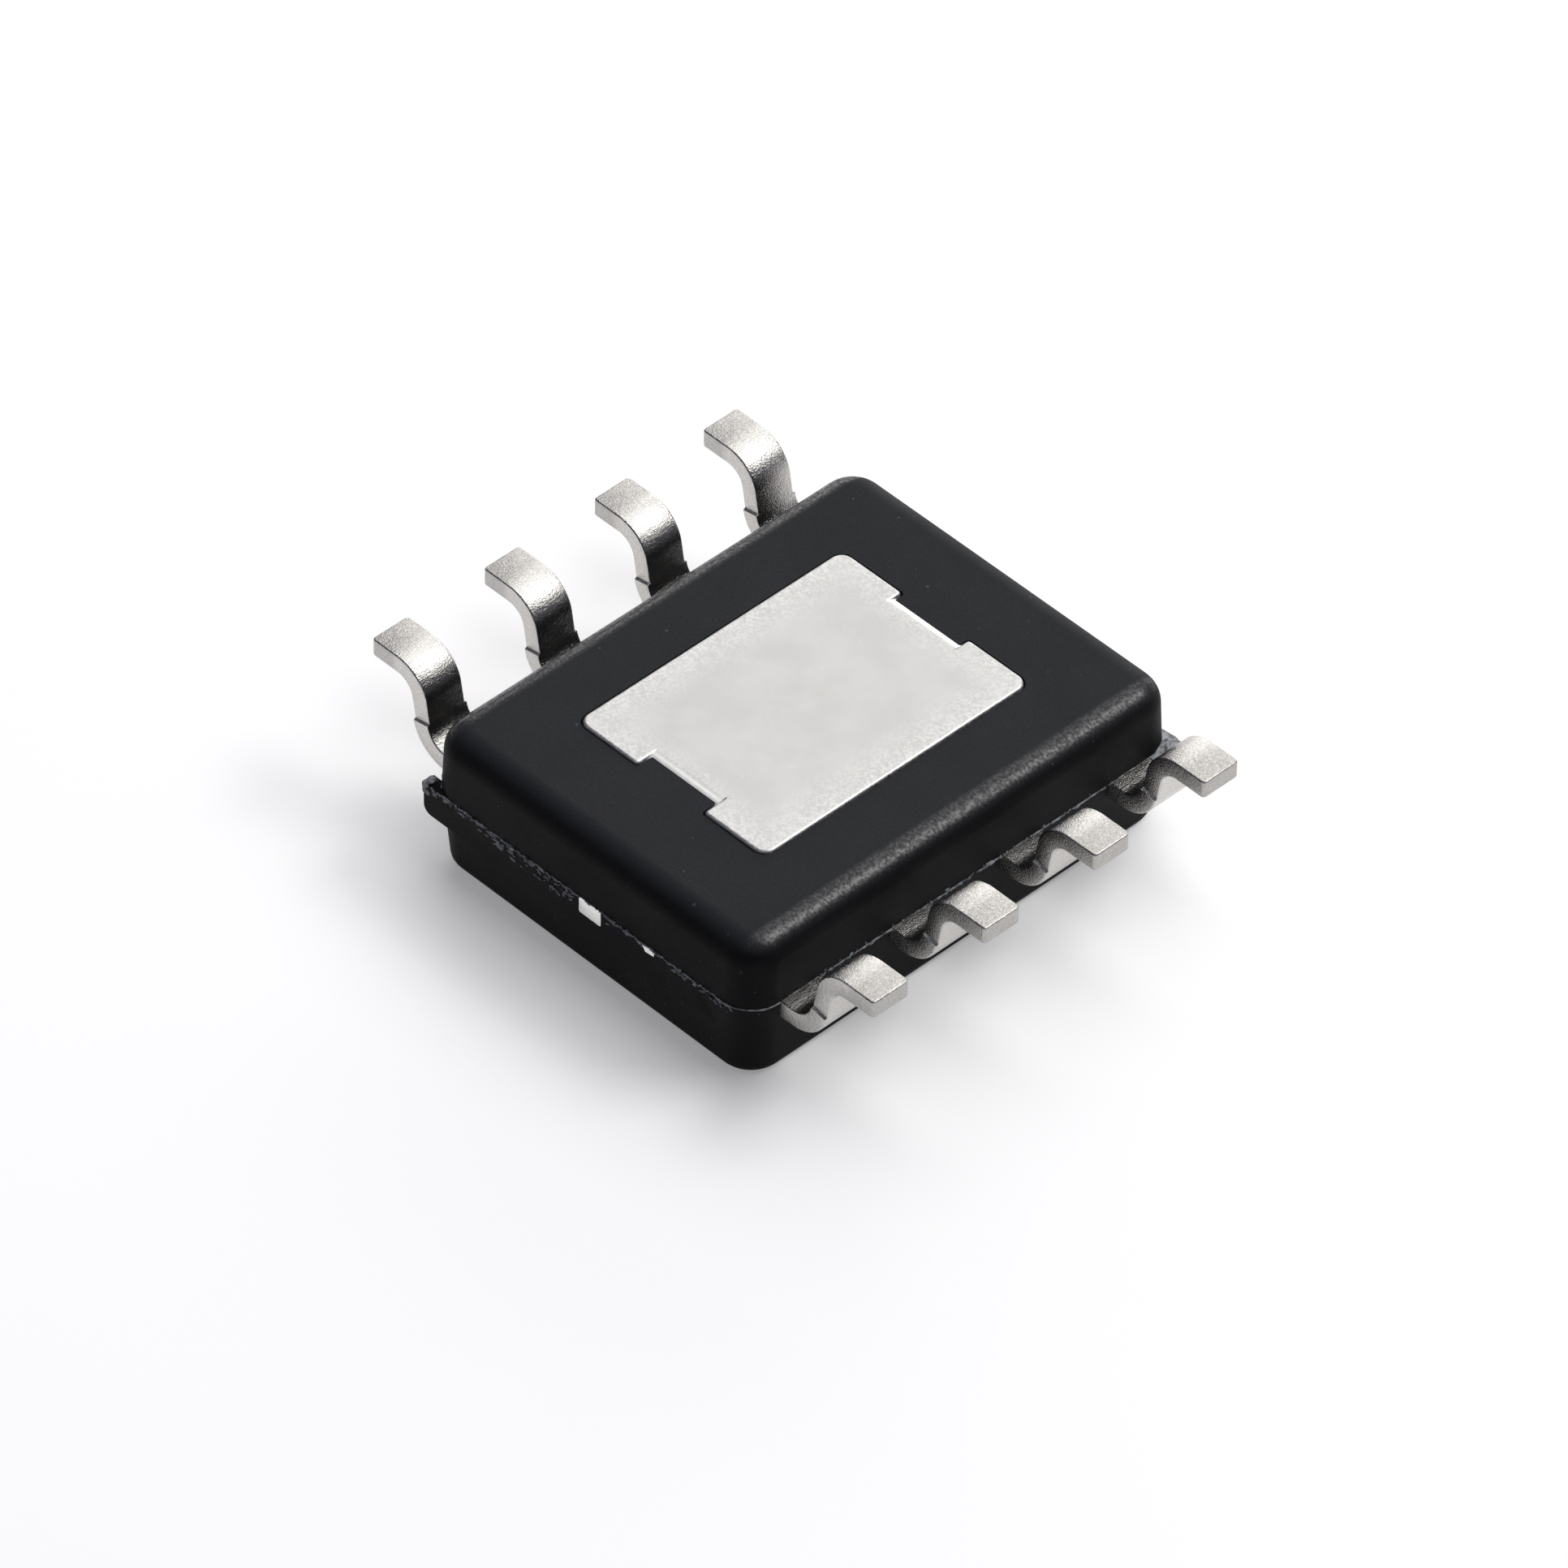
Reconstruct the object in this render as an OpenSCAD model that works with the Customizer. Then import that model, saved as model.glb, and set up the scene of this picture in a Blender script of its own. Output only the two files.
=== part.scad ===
// Eight-lead small-outline power package with an exposed pad, resting on its marking face.
// X runs across the lead rows, Y along the body, Z from the marking face to the exposed pad.

/* [Moulded body] */
// Width of the body across the lead rows, at the parting line
body_width = 3.9; // [3.4:0.05:4.6]
// Length of the body along the lead rows, at the parting line
body_length = 4.95; // [4.6:0.05:6]
// Height of the belly face above the marking face
belly_height = 1.48; // [1.3:0.01:1.8]
// Height of the parting line above the marking face
parting_height = 0.82; // [0.7:0.01:0.9]
// Draft of the walls between the parting line and the belly
belly_draft = 2; // [0:0.5:5]
// Draft of the walls between the parting line and the marking face
marking_draft = 4; // [0:0.5:7]
// Radius of the four upright corners at the parting line
corner_radius = 0.32; // [0.26:0.01:0.5]
// Radius of the rounded edge round the belly face
belly_edge_radius = 0.24; // [0.1:0.01:0.26]
// Radius of the rounded edge round the marking face
marking_edge_radius = 0.1; // [0.05:0.01:0.2]
// Diameter of the pin-one dimple in the marking face
dimple_diameter = 0.5; // [0.3:0.05:0.8]
// Depth of the pin-one dimple
dimple_depth = 0.05; // [0.02:0.01:0.1]
// Distance of the dimple from the two nearest walls
dimple_inset = 0.75; // [0.6:0.05:1]

/* [Mould flash] */
// Height of the flash land below the parting line on the pin-one end
land_height = 0.34; // [0.2:0.02:0.5]
// Distance the land stands past the corner as a tongue
land_overhang = 0.03; // [0:0.01:0.1]
// Thickness of the tongue
tongue_thickness = 0.12; // [0.06:0.01:0.2]
// Radius of the lower corner of the tongue
tongue_radius = 0.09; // [0.03:0.01:0.12]
// Distance the corner fin stands past the side wall
fin_reach = 0.16; // [0.05:0.01:0.25]
// Distance the corner fin stands past the end wall
fin_overhang = 0.01; // [0:0.005:0.03]

/* [Leads] */
// Spacing of the leads along each row
lead_pitch = 1.27; // [1:0.01:1.27]
// Width of each lead outside the body
lead_width = 0.41; // [0.31:0.01:0.51]
// Thickness of the leadframe sheet
sheet_thickness = 0.18; // [0.15:0.01:0.22]
// Distance between the tips of the two rows
lead_span = 6.0; // [5.8:0.05:6.6]
// Height of the solder face of the feet above the belly face
standoff = 0.04; // [0.01:0.01:0.15]
// Length of the flat part of each foot
foot_length = 0.31; // [0.2:0.01:0.45]
// Inside radius of the bend between foot and riser
foot_bend_radius = 0.18; // [0.1:0.01:0.22]
// Inside radius of the bend between riser and shoulder
shoulder_bend_radius = 0.22; // [0.12:0.01:0.24]
// Lean of the riser from upright
riser_lean = 10; // [2:1:20]
// Width left on each side of the shoulder and its bend where the dam bar was cut
dambar_stub = 0.025; // [0.01:0.005:0.04]

/* [Lead fingers] */
// Width of the inner ends of the leads
finger_width = 0.5; // [0.42:0.01:0.6]
// Gap between the die pad edge, seen from above, and the inner end of the fingers
finger_gap = 0.08; // [0.05:0.01:0.2]
// Width of the cross leg on the four corner fingers
corner_leg_width = 0.36; // [0.3:0.01:0.45]
// Distance of the corner finger ends from the middle of the body, along the body
corner_leg_inner = 1.22; // [1.15:0.01:1.3]

/* [Die pad] */
// Width of the exposed pad across the lead rows
pad_width = 2.24; // [1.8:0.02:2.3]
// Length of the exposed pad along the body
pad_length = 3.06; // [2.6:0.02:3.1]
// Height of the pad face above the belly face
pad_proud = 0.02; // [0.01:0.005:0.035]
// Corner radius of the pad
pad_corner_radius = 0.12; // [0.05:0.01:0.2]
// Width of the notch in each end of the pad
notch_width = 0.8; // [0.72:0.01:1]
// Depth of the notch in each end of the pad
notch_depth = 0.19; // [0.1:0.01:0.25]

/* [Tie bars] */
// Width of each tie bar where it leaves the pad
tie_root_width = 0.62; // [0.5:0.01:0.7]
// Width of each tie bar where it reaches the end wall
tie_end_width = 0.27; // [0.2:0.01:0.4]
// Sideways offset of the tie bars from the middle
tie_offset = 0.04; // [-0.05:0.01:0.05]
// Inside radius of the two bends in each tie bar
tie_bend_radius = 0.05; // [0.04:0.01:0.08]
// Distance the cut ends of the tie bars stand past the end walls
tie_proud = 0.01; // [0.005:0.005:0.03]
// Slope of the down-set part of each tie bar
tie_slope = 60; // [50:1:75]

/* [Die] */
// Size of the die across the lead rows
die_width = 1.5; // [1:0.05:1.7]
// Size of the die along the body
die_length = 2.1; // [1.6:0.05:2.3]
// Thickness of the die
die_thickness = 0.22; // [0.15:0.01:0.25]
// Thickness of the die attach layer
attach_thickness = 0.03; // [0.02:0.005:0.04]
// Margin of the die attach round the die
attach_margin = 0.05; // [0.02:0.01:0.08]

/* [Bond wires] */
// Diameter of the bond wires
wire_diameter = 0.05; // [0.03:0.005:0.06]
// Diameter of the ball at the die end of each wire
ball_diameter = 0.11; // [0.08:0.005:0.13]
// Height of the ball
ball_height = 0.04; // [0.02:0.005:0.06]
// Height of the wire loop crest below the finger faces
loop_clearance = 0.14; // [0.1:0.01:0.2]
// Size of the flattened wire foot on each finger
wire_foot = 0.09; // [0.07:0.005:0.1]
// Inset of the balls from the edge of the die
ball_inset = 0.14; // [0.1:0.01:0.2]

/* [Hidden] */
$fn = 48;
// Small overlap that joins pieces of one solid
join = 0.01;
leads_per_row = 4;
half_width = body_width / 2;
half_length = body_length / 2;
// The sheet lies just below the parting line
sheet_top = parting_height;
sheet_bottom = sheet_top - sheet_thickness;
sheet_middle = sheet_top - sheet_thickness / 2;
// Lead side profile
foot_top = belly_height + standoff;
foot_middle = foot_top - sheet_thickness / 2;
tip_x = lead_span / 2;
bend_angle = 90 - riser_lean;
bend_middles = foot_bend_radius + shoulder_bend_radius + sheet_thickness;
bend_rise = bend_middles * (1 - cos(bend_angle));
riser_length = (foot_middle - sheet_middle - bend_rise) / sin(bend_angle);
riser_run = bend_middles * sin(bend_angle) + riser_length * cos(bend_angle);
shoulder_length = tip_x - foot_length - riser_run - half_width;
// Lead fingers
finger_end_x = pad_width / 2 + finger_gap;
outer_lead_y = (leads_per_row - 1) / 2 * lead_pitch;
// Plastic left between the wide part of a middle finger and the side wall
wall_cover = (half_width - finger_end_x) / 3;
// Die pad
pad_top = belly_height + pad_proud;
pad_bottom = pad_top - sheet_thickness;
notch_y = pad_length / 2 - notch_depth;
// Tie bar side profile
tie_bend_middle = tie_bend_radius + sheet_thickness / 2;
tie_drop = pad_top - sheet_top;
tie_slope_length = (tie_drop - 2 * tie_bend_middle * (1 - cos(tie_slope))) / sin(tie_slope);
tie_run = 2 * tie_bend_middle * sin(tie_slope) + tie_slope_length * cos(tie_slope);
tie_flat_y = notch_y + tie_run;
// Length of the wide flat part after the second bend
tie_neck = min(0.1, (half_length - tie_flat_y) / 3);
// Die stack, hung from the inner face of the pad
attach_bottom = pad_bottom - attach_thickness;
die_bottom = attach_bottom - die_thickness;
// Bond wires
wire_radius = wire_diameter / 2;
loop_z = sheet_bottom - loop_clearance;
wire_end_z = sheet_bottom - wire_radius - 0.015;
wire_end_x = finger_end_x + wire_foot;
ball_x = die_width / 2 - ball_inset;

// Row side and place along the row of a lead, counted from the pin-one corner
function lead_side(n) = n <= leads_per_row ? -1 : 1;
function lead_place(n) = n <= leads_per_row ? n - 1 : 2 * leads_per_row - n;
function lead_y(n) = (lead_place(n) - (leads_per_row - 1) / 2) * lead_pitch;
function is_corner(n) = lead_place(n) == 0 || lead_place(n) == leads_per_row - 1;
function wire_y(n) = is_corner(n)
    ? sign(lead_y(n)) * (corner_leg_inner + corner_leg_width / 2)
    : lead_y(n);
function ball_y(n) = wire_y(n) * (die_length / 2 - ball_inset) / (pad_length / 2);

// ---- shared shapes ----

// Section of a drafted wall: it starts at the corner radius at z 0 and rounds into a flat top
module wall_section(height, draft, edge_radius) {
    arc_z = height - edge_radius;
    arc_x = corner_radius - arc_z * tan(draft) - edge_radius / cos(draft);
    polygon([
        [0, 0], [corner_radius, 0],
        [arc_x + edge_radius * cos(draft), arc_z + edge_radius * sin(draft)],
        [arc_x, arc_z], [arc_x, height], [0, height]
    ]);
    intersection() {
        translate([arc_x, arc_z]) circle(edge_radius);
        translate([arc_x, arc_z]) square(edge_radius);
    }
}

// One half of the body, from the parting plane up to a flat face, with one section all round
module drafted_half(height, draft, edge_radius) {
    straight_x = half_width - corner_radius;
    straight_y = half_length - corner_radius;
    translate([-straight_x, -straight_y, 0])
        cube([2 * straight_x, 2 * straight_y, height]);
    for (side = [0, 1])
        mirror([side, 0, 0])
        translate([straight_x, straight_y, 0])
        rotate([90, 0, 0])
        linear_extrude(2 * straight_y)
        wall_section(height, draft, edge_radius);
    for (end = [0, 1])
        mirror([0, end, 0])
        translate([-straight_x, straight_y, 0])
        rotate([90, 0, 90])
        linear_extrude(2 * straight_x)
        wall_section(height, draft, edge_radius);
    for (side = [0, 1], end = [0, 1])
        mirror([side, 0, 0])
        mirror([0, end, 0])
        translate([straight_x, straight_y, 0])
        rotate_extrude(angle = 90)
        wall_section(height, draft, edge_radius);
}

// Straight run of sheet seen from its edge, from the origin along X; children follow on
module sheet_run(length) {
    translate([0, -sheet_thickness / 2])
        square([length, sheet_thickness]);
    translate([length, 0])
        children();
}

// Bend in the sheet to the left (turn 1) or right (turn -1), by at most a quarter turn
module sheet_bend(inside_radius, angle, turn) {
    middle = inside_radius + sheet_thickness / 2;
    reach = 2 * (inside_radius + sheet_thickness);
    low = turn > 0 ? -reach : 0;
    translate([0, turn * middle]) {
        intersection() {
            difference() {
                circle(inside_radius + sheet_thickness);
                circle(inside_radius);
            }
            translate([0, low]) square(reach);
            rotate(turn * angle) translate([-reach, low]) square(reach);
        }
        rotate(turn * angle)
            translate([0, -turn * middle])
            children();
    }
}

// Side profile of the shoulder and its bend on the +X row; children follow on as the riser
module shoulder_profile() {
    translate([half_width - join, sheet_middle])
        sheet_run(shoulder_length + join)
        sheet_bend(shoulder_bend_radius, bend_angle, 1)
        children();
}

// Side profile of a lead outside the body, on the +X row
module lead_profile() {
    shoulder_profile()
        sheet_run(riser_length)
        sheet_bend(foot_bend_radius, bend_angle, -1)
        sheet_run(foot_length);
}

// Plan of a corner finger: a leg along the side wall turned in towards the die
module corner_finger_plan() {
    outer_y = outer_lead_y + lead_width / 2;
    polygon([
        [half_width, outer_y - lead_width], [half_width, outer_y],
        [finger_end_x, outer_y], [finger_end_x, corner_leg_inner],
        [finger_end_x + corner_leg_width, corner_leg_inner],
        [finger_end_x + corner_leg_width, outer_y - lead_width]
    ]);
}

// Complete lead, placed by its number
module lead_solid(n) {
    side = lead_side(n);
    along = lead_y(n);
    mirror([side < 0 ? 1 : 0, 0, 0]) {
        translate([0, along + lead_width / 2, 0])
            rotate([90, 0, 0])
            linear_extrude(lead_width)
            lead_profile();
        translate([0, along + lead_width / 2 + dambar_stub, 0])
            rotate([90, 0, 0])
            linear_extrude(lead_width + 2 * dambar_stub)
            shoulder_profile();
        translate([0, 0, sheet_bottom])
            linear_extrude(sheet_thickness)
            if (is_corner(n)) {
                mirror([0, along < 0 ? 1 : 0]) corner_finger_plan();
            } else {
                translate([finger_end_x, along - finger_width / 2])
                    square([half_width - finger_end_x - wall_cover, finger_width]);
                translate([finger_end_x, along - lead_width / 2])
                    square([half_width - finger_end_x, lead_width]);
            }
    }
}

// Flat plate with four rounded corners
module rounded_plan(width, length, radius) {
    square([width - 2 * radius, length], center = true);
    square([width, length - 2 * radius], center = true);
    for (x = [-1, 1], y = [-1, 1])
        translate([x * (width / 2 - radius), y * (length / 2 - radius)]) circle(radius);
}

// Side profile of a tie bar from inside the pad to just past the end wall, along +X
module tie_profile() {
    translate([notch_y - notch_depth, pad_top - sheet_thickness / 2])
        sheet_run(notch_depth)
        sheet_bend(tie_bend_radius, tie_slope, -1)
        sheet_run(tie_slope_length)
        sheet_bend(tie_bend_radius, tie_slope, 1)
        sheet_run(half_length - tie_flat_y + tie_proud);
}

// Bent tie bar at the +Y end, cut narrow where it leaves the body
module tie_bar() {
    cut_width = (tie_root_width - tie_end_width) / 2;
    translate([tie_offset, 0, 0])
        difference() {
            rotate([90, 0, 90])
                translate([0, 0, -tie_root_width / 2])
                linear_extrude(tie_root_width)
                tie_profile();
            for (side = [0, 1])
                mirror([side, 0, 0])
                translate([tie_end_width / 2, tie_flat_y + tie_neck, 0])
                cube([2 * cut_width, half_length, belly_height]);
        }
}

// Land of flash on the pin-one end wall, running past the corner as a tongue
module flash_land() {
    left = -half_width - land_overhang;
    right = half_width - corner_radius;
    bottom = parting_height - land_height;
    translate([0, -half_length + tongue_thickness, 0])
        rotate([90, 0, 0])
        linear_extrude(tongue_thickness) {
            translate([left + tongue_radius, bottom])
                square([right - left - tongue_radius, land_height]);
            translate([left, bottom + tongue_radius])
                square([tongue_radius + join, land_height - tongue_radius]);
            translate([left + tongue_radius, bottom + tongue_radius]) circle(tongue_radius);
        }
}

// Fin of flash in the corner beside lead five, where the dam bar was cut
module corner_fin() {
    lead_edge = outer_lead_y + lead_width / 2 + dambar_stub;
    translate([0, 0, sheet_bottom])
        linear_extrude(sheet_thickness)
        polygon([
            [half_width - corner_radius, lead_edge],
            [half_width + shoulder_length, lead_edge],
            [half_width + fin_reach, (lead_edge + half_length) / 2],
            [half_width + fin_reach / 2, half_length + fin_overhang],
            [half_width - corner_radius, half_length - join]
        ]);
}

// Wire path of one lead: ball on the die, loop below the fingers, flattened foot
module wire_solid(n) {
    side = lead_side(n);
    start = [side * ball_x, ball_y(n), loop_z];
    end = [side * wire_end_x, wire_y(n), wire_end_z];
    run = end - start;
    flat_run = norm([run[0], run[1]]);
    translate([start[0], start[1], die_bottom - ball_height])
        cylinder(h = ball_height, d = ball_diameter);
    translate(start)
        cylinder(h = die_bottom - ball_height / 2 - loop_z, r = wire_radius);
    translate(start) sphere(wire_radius);
    translate(start)
        rotate([0, atan2(flat_run, run[2]), atan2(run[1], run[0])])
        cylinder(h = norm(run), r = wire_radius);
    translate([end[0] - wire_foot / 2, end[1] - wire_foot / 2, wire_end_z - wire_radius])
        cube([wire_foot, wire_foot, sheet_bottom - wire_end_z + wire_radius]);
}

// ---- nodes ----

module moulded_body() {
    color([0.12, 0.12, 0.13])
    difference() {
        union() {
            translate([0, 0, parting_height])
                drafted_half(belly_height - parting_height, belly_draft, belly_edge_radius);
            translate([0, 0, parting_height])
                mirror([0, 0, 1])
                drafted_half(parting_height, marking_draft, marking_edge_radius);
            flash_land();
            corner_fin();
        }
        translate([-half_width + dimple_inset, -half_length + dimple_inset, -join])
            cylinder(h = dimple_depth + join, d = dimple_diameter);
        die_pad();
        for (n = [1:2 * leads_per_row]) lead_solid(n);
        die();
        die_attach();
        for (n = [1:2 * leads_per_row]) wire_solid(n);
    }
}

module die_pad() {
    color([0.8, 0.8, 0.79])
    union() {
        translate([0, 0, pad_bottom])
            linear_extrude(sheet_thickness)
            difference() {
                rounded_plan(pad_width, pad_length, pad_corner_radius);
                for (end = [-1, 1])
                    translate([-notch_width / 2, end * pad_length / 2 - notch_depth])
                    square([notch_width, 2 * notch_depth]);
            }
        for (end = [0, 1])
            mirror([0, end, 0])
            tie_bar();
    }
}

module lead_1() { color([0.78, 0.77, 0.75]) lead_solid(1); }
module lead_2() { color([0.78, 0.77, 0.75]) lead_solid(2); }
module lead_3() { color([0.78, 0.77, 0.75]) lead_solid(3); }
module lead_4() { color([0.78, 0.77, 0.75]) lead_solid(4); }
module lead_5() { color([0.78, 0.77, 0.75]) lead_solid(5); }
module lead_6() { color([0.78, 0.77, 0.75]) lead_solid(6); }
module lead_7() { color([0.78, 0.77, 0.75]) lead_solid(7); }
module lead_8() { color([0.78, 0.77, 0.75]) lead_solid(8); }

module die() {
    color([0.35, 0.37, 0.42])
    translate([-die_width / 2, -die_length / 2, die_bottom])
        cube([die_width, die_length, die_thickness]);
}

module die_attach() {
    width = die_width + 2 * attach_margin;
    length = die_length + 2 * attach_margin;
    color([0.6, 0.6, 0.62])
    translate([-width / 2, -length / 2, attach_bottom])
        cube([width, length, attach_thickness]);
}

module bond_wire_1() { color([0.85, 0.6, 0.35]) wire_solid(1); }
module bond_wire_2() { color([0.85, 0.6, 0.35]) wire_solid(2); }
module bond_wire_3() { color([0.85, 0.6, 0.35]) wire_solid(3); }
module bond_wire_4() { color([0.85, 0.6, 0.35]) wire_solid(4); }
module bond_wire_5() { color([0.85, 0.6, 0.35]) wire_solid(5); }
module bond_wire_6() { color([0.85, 0.6, 0.35]) wire_solid(6); }
module bond_wire_7() { color([0.85, 0.6, 0.35]) wire_solid(7); }
module bond_wire_8() { color([0.85, 0.6, 0.35]) wire_solid(8); }

moulded_body();
die_pad();
lead_1();
lead_2();
lead_3();
lead_4();
lead_5();
lead_6();
lead_7();
lead_8();
die();
die_attach();
bond_wire_1();
bond_wire_2();
bond_wire_3();
bond_wire_4();
bond_wire_5();
bond_wire_6();
bond_wire_7();
bond_wire_8();
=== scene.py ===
"""Looks of an eight-lead small-outline chip with an exposed pad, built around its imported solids."""

import math
import random

import bmesh
import bpy
from mathutils import Matrix, Vector, noise


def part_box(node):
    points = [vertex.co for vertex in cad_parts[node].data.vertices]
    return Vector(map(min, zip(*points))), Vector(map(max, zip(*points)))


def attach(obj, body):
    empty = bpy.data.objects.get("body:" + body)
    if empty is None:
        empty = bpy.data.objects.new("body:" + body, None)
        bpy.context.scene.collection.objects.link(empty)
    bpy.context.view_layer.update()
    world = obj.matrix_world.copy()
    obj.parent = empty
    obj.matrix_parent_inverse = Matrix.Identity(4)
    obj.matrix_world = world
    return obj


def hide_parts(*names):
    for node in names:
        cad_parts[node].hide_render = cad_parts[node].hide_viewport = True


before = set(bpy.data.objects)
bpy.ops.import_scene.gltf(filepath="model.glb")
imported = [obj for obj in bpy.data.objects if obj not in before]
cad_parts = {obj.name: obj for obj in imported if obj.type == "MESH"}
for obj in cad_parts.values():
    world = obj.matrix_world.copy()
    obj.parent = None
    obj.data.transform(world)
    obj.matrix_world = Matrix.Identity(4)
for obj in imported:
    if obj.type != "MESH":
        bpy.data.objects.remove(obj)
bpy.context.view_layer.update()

bl_info = {
    "name": "Exposed-pad chip",
    "version": (1, 0, 0),
    "blender": (4, 5, 0),
    "location": "View3D > Sidebar > Chip",
    "description": "Builds the visible pieces, finishes and studio of an exposed-pad chip",
    "category": "Object",
}

MM = 0.001
BODY_LOW, BODY_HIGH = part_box("moulded_body")
PAD_LOW, PAD_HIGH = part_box("die_pad")
LEAD_LOW, LEAD_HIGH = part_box("lead_8")
SIXTH_LOW, SIXTH_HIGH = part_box("lead_6")
SEVENTH_LOW, SEVENTH_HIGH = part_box("lead_7")
LEADS_PER_ROW = 4
PITCH = (SIXTH_LOW.y + SIXTH_HIGH.y - SEVENTH_LOW.y - SEVENTH_HIGH.y) / 2
HIDDEN_METAL = ["bond_wire_%d" % n for n in range(1, 9)]


# ---- settings that a user would change ----


class ChipBodySizes(bpy.types.PropertyGroup):
    width: bpy.props.FloatProperty(
        name="Body width", description="Across the lead rows at the parting line",
        default=3.9 * MM, min=0.0, unit="LENGTH")
    length: bpy.props.FloatProperty(
        name="Body length", description="Along the lead rows at the parting line",
        default=4.95 * MM, min=0.0, unit="LENGTH")
    belly_z: bpy.props.FloatProperty(
        name="Belly height", description="Height of the belly face",
        default=BODY_HIGH.z, min=0.0, unit="LENGTH")
    parting_z: bpy.props.FloatProperty(
        name="Parting height", description="Height of the parting line",
        default=LEAD_LOW.z + 0.18 * MM, min=0.0, unit="LENGTH")
    corner: bpy.props.FloatProperty(
        name="Corner radius", description="Upright corners",
        default=0.32 * MM, min=0.0, unit="LENGTH")
    belly_edge: bpy.props.FloatProperty(
        name="Belly edge radius", description="Rounding round the belly face",
        default=0.24 * MM, min=0.0, unit="LENGTH")
    marking_edge: bpy.props.FloatProperty(
        name="Marking edge radius", description="Rounding round the marking face",
        default=0.1 * MM, min=0.0, unit="LENGTH")
    belly_draft: bpy.props.FloatProperty(
        name="Belly draft", description="Draft above the parting line",
        default=math.radians(2), subtype="ANGLE")
    marking_draft: bpy.props.FloatProperty(
        name="Marking draft", description="Draft below the parting line",
        default=math.radians(4), subtype="ANGLE")
    groove: bpy.props.FloatProperty(
        name="Pad groove", description="Gap between the pad and the plastic",
        default=0.018 * MM, min=0.0, unit="LENGTH")
    dimple: bpy.props.FloatProperty(
        name="Dimple diameter", description="Pin-one dimple in the marking face",
        default=0.5 * MM, min=0.0, unit="LENGTH")
    dimple_inset: bpy.props.FloatProperty(
        name="Dimple inset", description="Dimple centre from the two nearest walls",
        default=0.75 * MM, min=0.0, unit="LENGTH")
    dimple_depth: bpy.props.FloatProperty(
        name="Dimple depth", description="Depth of the pin-one dimple",
        default=0.05 * MM, min=0.0, unit="LENGTH")


class ChipFlashSizes(bpy.types.PropertyGroup):
    land: bpy.props.FloatProperty(
        name="Land height", description="Flash land below the parting line on the pin-one end",
        default=0.34 * MM, min=0.0, unit="LENGTH")
    lip: bpy.props.FloatProperty(
        name="Lip", description="Reach of the thin lip along the parting line",
        default=0.014 * MM, min=0.0, unit="LENGTH")
    chips: bpy.props.IntProperty(
        name="Chips", description="Number of broken flakes under the lip of the pin-one end",
        default=230, min=0)
    crumbs: bpy.props.IntProperty(
        name="Crumbs", description="Number of crumbs between the leads on each side",
        default=60, min=0)
    seed: bpy.props.IntProperty(
        name="Seed", description="Arrangement of the flakes", default=7, min=0)


class ChipPadSizes(bpy.types.PropertyGroup):
    notch_width: bpy.props.FloatProperty(
        name="Notch width", description="Notch in each end of the pad",
        default=0.8 * MM, min=0.0, unit="LENGTH")
    notch_depth: bpy.props.FloatProperty(
        name="Notch depth", description="Depth of each notch",
        default=0.19 * MM, min=0.0, unit="LENGTH")
    roll: bpy.props.FloatProperty(
        name="Roll", description="Rolled strip that shows in the notch of the pin-one end",
        default=0.06 * MM, min=0.0, unit="LENGTH")
    length: bpy.props.FloatProperty(
        name="Pad length", description="Exposed length along the body",
        default=3.06 * MM, min=0.0, unit="LENGTH")
    corner: bpy.props.FloatProperty(
        name="Pad corner", description="Corner radius of the pad",
        default=0.12 * MM, min=0.0, unit="LENGTH")
    edge: bpy.props.FloatProperty(
        name="Pad edge", description="Rounded upper edge of the pad",
        default=0.028 * MM, min=0.0, unit="LENGTH")
    tie_width: bpy.props.FloatProperty(
        name="Tie end width", description="Cut end of each tie bar",
        default=0.27 * MM, min=0.0, unit="LENGTH")
    tie_offset: bpy.props.FloatProperty(
        name="Tie offset", description="Tie bars from the middle of the pad",
        default=0.04 * MM, unit="LENGTH")


class ChipLeadSizes(bpy.types.PropertyGroup):
    sheet: bpy.props.FloatProperty(
        name="Sheet thickness", description="Leadframe sheet",
        default=0.18 * MM, min=0.0, unit="LENGTH")
    width: bpy.props.FloatProperty(
        name="Lead width", description="Width of each foot",
        default=0.41 * MM, min=0.0, unit="LENGTH")
    stub: bpy.props.FloatProperty(
        name="Dam bar stub", description="Width left on each side of the shoulder",
        default=0.025 * MM, min=0.0, unit="LENGTH")
    foot: bpy.props.FloatProperty(
        name="Foot length", description="Flat part of the foot",
        default=0.31 * MM, min=0.0, unit="LENGTH")
    foot_bend: bpy.props.FloatProperty(
        name="Foot bend", description="Inside radius of the upper bend",
        default=0.18 * MM, min=0.0, unit="LENGTH")
    shoulder_bend: bpy.props.FloatProperty(
        name="Shoulder bend", description="Inside radius of the lower bend",
        default=0.22 * MM, min=0.0, unit="LENGTH")
    lean: bpy.props.FloatProperty(
        name="Riser lean", description="Lean of the riser from upright",
        default=math.radians(10), subtype="ANGLE")
    edge: bpy.props.FloatProperty(
        name="Rolled edge", description="Rounding of the sheared edges",
        default=0.016 * MM, min=0.0, unit="LENGTH")


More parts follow.
